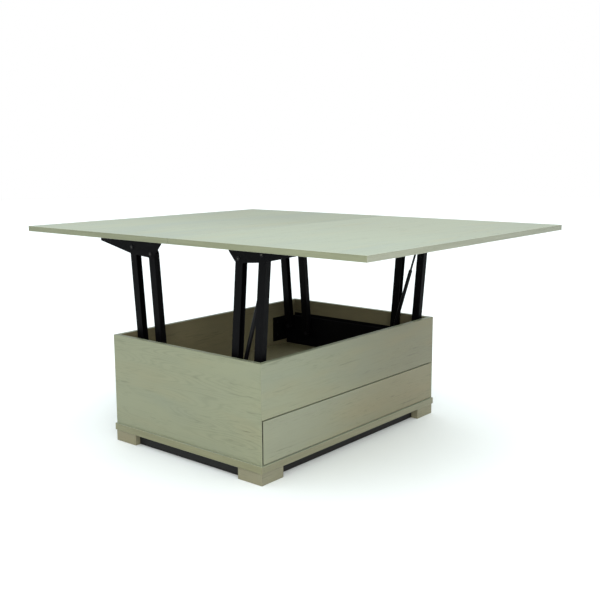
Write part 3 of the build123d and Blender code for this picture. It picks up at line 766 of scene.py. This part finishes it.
# =====================================================================================
# Screws and peened ends, set out where the frame has them.  Zinc-plated cross-head screws hold
# the feet to the board and the lift brackets to the front leaf, blackened ones hold the base
# frames down, and each upper pin is peened over to a low bright dome outside its bracket.
# =====================================================================================
screw_zinc = metal("screw_zinc_plate", (0.66, 0.64, 0.58, 1.0), (0.46, 0.44, 0.38, 1.0),
                   grain_scale=1200.0, polish=0.20, spread=0.10)
recess_long, recess_wide, recess_lift = 1.15, 0.24, 0.95    # in head radii, and in head heights


def solids(node):
    """The separate solids of a CAD node, each as a list of its corners."""
    shape = merged(node)
    left, found = set(shape.verts), []
    while left:
        stack = [left.pop()]
        group = []
        while stack:
            vert = stack.pop()
            group.append(vert.co.copy())
            for edge in vert.link_edges:
                other = edge.other_vert(vert)
                if other in left:
                    left.remove(other)
                    stack.append(other)
        found.append(group)
    shape.free()
    return sorted(found, key=lambda group: tuple(
        round(sum(corner[i] for corner in group) / len(group), 4) for i in range(3)))


def heads_tree(name, recessed):
    """A nodes tree that puts a domed head and its shank at each point.

    The head is recessed with a cross, or plain."""
    tree = bpy.data.node_groups.new(name, "GeometryNodeTree")
    sockets = {}
    for title, kind in (("Places", "NodeSocketGeometry"), ("Head Radius", "NodeSocketFloat"),
                        ("Head Height", "NodeSocketFloat"), ("Shank Radius", "NodeSocketFloat"),
                        ("Shank Length", "NodeSocketFloat"), ("Seed", "NodeSocketInt"),
                        ("Metal", "NodeSocketMaterial")):
        sockets[title] = tree.interface.new_socket(title, in_out="INPUT", socket_type=kind).identifier
    tree.interface.new_socket("Heads", in_out="OUTPUT", socket_type="NodeSocketGeometry")
    given = tree.nodes.new("NodeGroupInput")

    def add(kind, settings=None, values=None):
        node = tree.nodes.new(kind)
        for key, setting in (settings or {}).items():
            setattr(node, key, setting)
        for key, value in (values or {}).items():
            if isinstance(value, bpy.types.NodeSocket):
                tree.links.new(value, node.inputs[key])
            else:
                node.inputs[key].default_value = value
        return node

    def times(a, b):
        return add("ShaderNodeMath", {"operation": "MULTIPLY"}, {0: a, 1: b}).outputs[0]

    radius, height = given.outputs["Head Radius"], given.outputs["Head Height"]
    shank, length = given.outputs["Shank Radius"], given.outputs["Shank Length"]
    ball = add("GeometryNodeMeshUVSphere", None, {"Segments": 28, "Rings": 14, "Radius": 1.0})
    dome = add("GeometryNodeTransform", None, {
        "Geometry": ball.outputs["Mesh"],
        "Scale": add("ShaderNodeCombineXYZ", None, {0: radius, 1: radius, 2: height}).outputs[0]})
    wide = times(radius, 4.0)
    deep = times(height, 4.0)
    under = add("GeometryNodeMeshCube", None, {
        "Size": add("ShaderNodeCombineXYZ", None, {0: wide, 1: wide, 2: deep}).outputs[0]})
    under_down = add("GeometryNodeTransform", None, {
        "Geometry": under.outputs["Mesh"],
        "Translation": add("ShaderNodeCombineXYZ", None, {2: times(deep, -0.5)}).outputs[0]})
    cutters = [under_down.outputs["Geometry"]]
    if recessed:
        for x, y in ((recess_long, recess_wide), (recess_wide, recess_long)):
            arm = add("GeometryNodeMeshCube", None, {
                "Size": add("ShaderNodeCombineXYZ", None, {
                    0: times(radius, x), 1: times(radius, y), 2: height}).outputs[0]})
            lift = add("ShaderNodeCombineXYZ", None, {2: times(height, recess_lift)})
            cutters.append(add("GeometryNodeTransform", None, {
                "Geometry": arm.outputs["Mesh"], "Translation": lift.outputs[0]}).outputs["Geometry"])
    cut = tree.nodes.new("GeometryNodeMeshBoolean")
    cut.operation = "DIFFERENCE"
    cut.solver = "EXACT"
    tree.links.new(dome.outputs["Geometry"], cut.inputs[0])
    for cutter in cutters:
        tree.links.new(cutter, cut.inputs[1])
    bar = add("GeometryNodeMeshCylinder", None, {"Vertices": 20, "Radius": shank, "Depth": length})
    bar_down = add("GeometryNodeTransform", None, {
        "Geometry": bar.outputs["Mesh"],
        "Translation": add("ShaderNodeCombineXYZ", None, {2: times(length, -0.5)}).outputs[0]})
    whole = tree.nodes.new("GeometryNodeJoinGeometry")
    tree.links.new(cut.outputs["Mesh"], whole.inputs[0])
    tree.links.new(bar_down.outputs["Geometry"], whole.inputs[0])
    smooth = add("GeometryNodeSetShadeSmooth", None, {"Geometry": whole.outputs[0]})

    facing = add("GeometryNodeInputNamedAttribute", {"data_type": "FLOAT_VECTOR"}, {"Name": "facing"})
    turn = add("FunctionNodeAlignRotationToVector", {"axis": "Z"}, {
        "Vector": facing.outputs["Attribute"]})
    chance = add("FunctionNodeRandomValue", {"data_type": "FLOAT"}, {
        2: 0.0, 3: 2 * pi, "Seed": given.outputs["Seed"]})
    spin = add("FunctionNodeAxisAngleToRotation", None, {
        "Axis": (0.0, 0.0, 1.0), "Angle": chance.outputs[1]})
    both = add("FunctionNodeRotateRotation", {"rotation_space": "LOCAL"}, {
        "Rotation": turn.outputs[0], "Rotate By": spin.outputs[0]})
    placed = add("GeometryNodeInstanceOnPoints", None, {
        "Points": given.outputs["Places"], "Instance": smooth.outputs[0], "Rotation": both.outputs[0]})
    real = add("GeometryNodeRealizeInstances", None, {"Geometry": placed.outputs[0]})
    coloured = add("GeometryNodeSetMaterial", None, {
        "Geometry": real.outputs[0], "Material": given.outputs["Metal"]})
    tree.links.new(coloured.outputs[0], tree.nodes.new("NodeGroupOutput").inputs[0])
    return tree, sockets


def set_heads(name, places, kit, sizes, material, seed):
    """Heads at (point, facing) places, as a plain mesh object."""
    tree, sockets = kit
    points = bpy.data.meshes.new(name + "_places")
    points.from_pydata([tuple(point) for point, way in places], [], [])
    facing = points.attributes.new("facing", "FLOAT_VECTOR", "POINT")
    facing.data.foreach_set("vector", [part for point, way in places for part in way])
    holder = bpy.data.objects.new(name + "_places", points)
    bpy.context.scene.collection.objects.link(holder)
    grower = holder.modifiers.new("heads", "NODES")
    grower.node_group = tree
    for title, value in dict(sizes, Seed=seed, Metal=material).items():
        grower[sockets[title]] = value
    grown = holder.evaluated_get(bpy.context.evaluated_depsgraph_get())
    made = bpy.data.meshes.new_from_object(grown)
    made.name = name
    bpy.data.objects.remove(holder)
    finished = bpy.data.objects.new(name, made)
    bpy.context.scene.collection.objects.link(finished)
    return finished


def screw_places(node):
    """For each screw solid: the middle of the underside of its head and the way the head faces,
    then the radius and height of the head, and the radius and length of the shank."""
    found = []
    for corners in solids(node):
        low = Vector([min(c[i] for c in corners) for i in range(3)])
        high = Vector([max(c[i] for c in corners) for i in range(3)])
        size = high - low
        axis = max(range(3), key=lambda i: size[i])
        middle = (low + high) / 2
        length_way = Vector([float(i == axis) for i in range(3)])
        ends = {}
        for sign, at in ((-1, low[axis]), (1, high[axis])):
            rim = [c for c in corners if abs(c[axis] - at) < hair]
            to_end = (at - middle[axis]) * length_way
            ends[sign] = max((c - middle - to_end).length for c in rim)
        sign = max(ends, key=lambda s: ends[s])
        way = sign * length_way
        tip = high[axis] if sign > 0 else low[axis]
        levels = sorted({round(abs(c[axis] - tip), 5) for c in corners})
        head_height = levels[1]
        point = middle.copy()
        point[axis] = tip
        found.append((point - way * head_height, way, ends[sign], head_height,
                      min(ends.values()), size[axis] - head_height))
    return found


cross_heads = heads_tree("cross_head_screws", True)
screw_sets = (("foot_screws", "case", "zinc_screw", screw_zinc),
              ("base_frame_screws", "case", "black_screw", blackened),
              ("leaf_screws", "raised_top", "zinc_screw", screw_zinc))
first_seed = 3
for count, (node, body, slot, material) in enumerate(screw_sets):
    found = screw_places(node)
    head_radius, head_height, shank_radius, shank_length = found[0][2:]
    finished = set_heads(node + "_heads", [entry[:2] for entry in found], cross_heads, {
        "Head Radius": head_radius, "Head Height": head_height,
        "Shank Radius": shank_radius, "Shank Length": shank_length}, material, first_seed + count)
    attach(finished, body)
    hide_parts(node)

# ---- the bright peened ends of the upper pins, low domes on their outer faces
rivet_steel = metal("peened_steel", (0.24, 0.22, 0.18, 1.0), (0.10, 0.09, 0.08, 1.0),
                    grain_scale=1200.0, polish=0.34, spread=0.10)
dome_radius, root_radius, root_length = 0.0018, 0.0012, 0.0010
rivet_seed = 11
peened = heads_tree("peened_ends", False)
for unit, body, proud in (("lift", "raised_top", 0.0011), ("support", "support_carrier", 0.0004)):
    node = unit + "_upper_pins"
    reach = max(abs(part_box(node)[0].x), abs(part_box(node)[1].x))
    places = [((side * reach, *pivots[unit, place_name][1]), (side, 0.0, 0.0))
              for side in (-1.0, 1.0) for place_name in ("inner", "outer")]
    finished = set_heads(node + "_peened", places, peened, {
        "Head Radius": dome_radius, "Head Height": proud,
        "Shank Radius": root_radius, "Shank Length": root_length}, rivet_steel, rivet_seed)
    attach(finished, body)
    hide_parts(node)
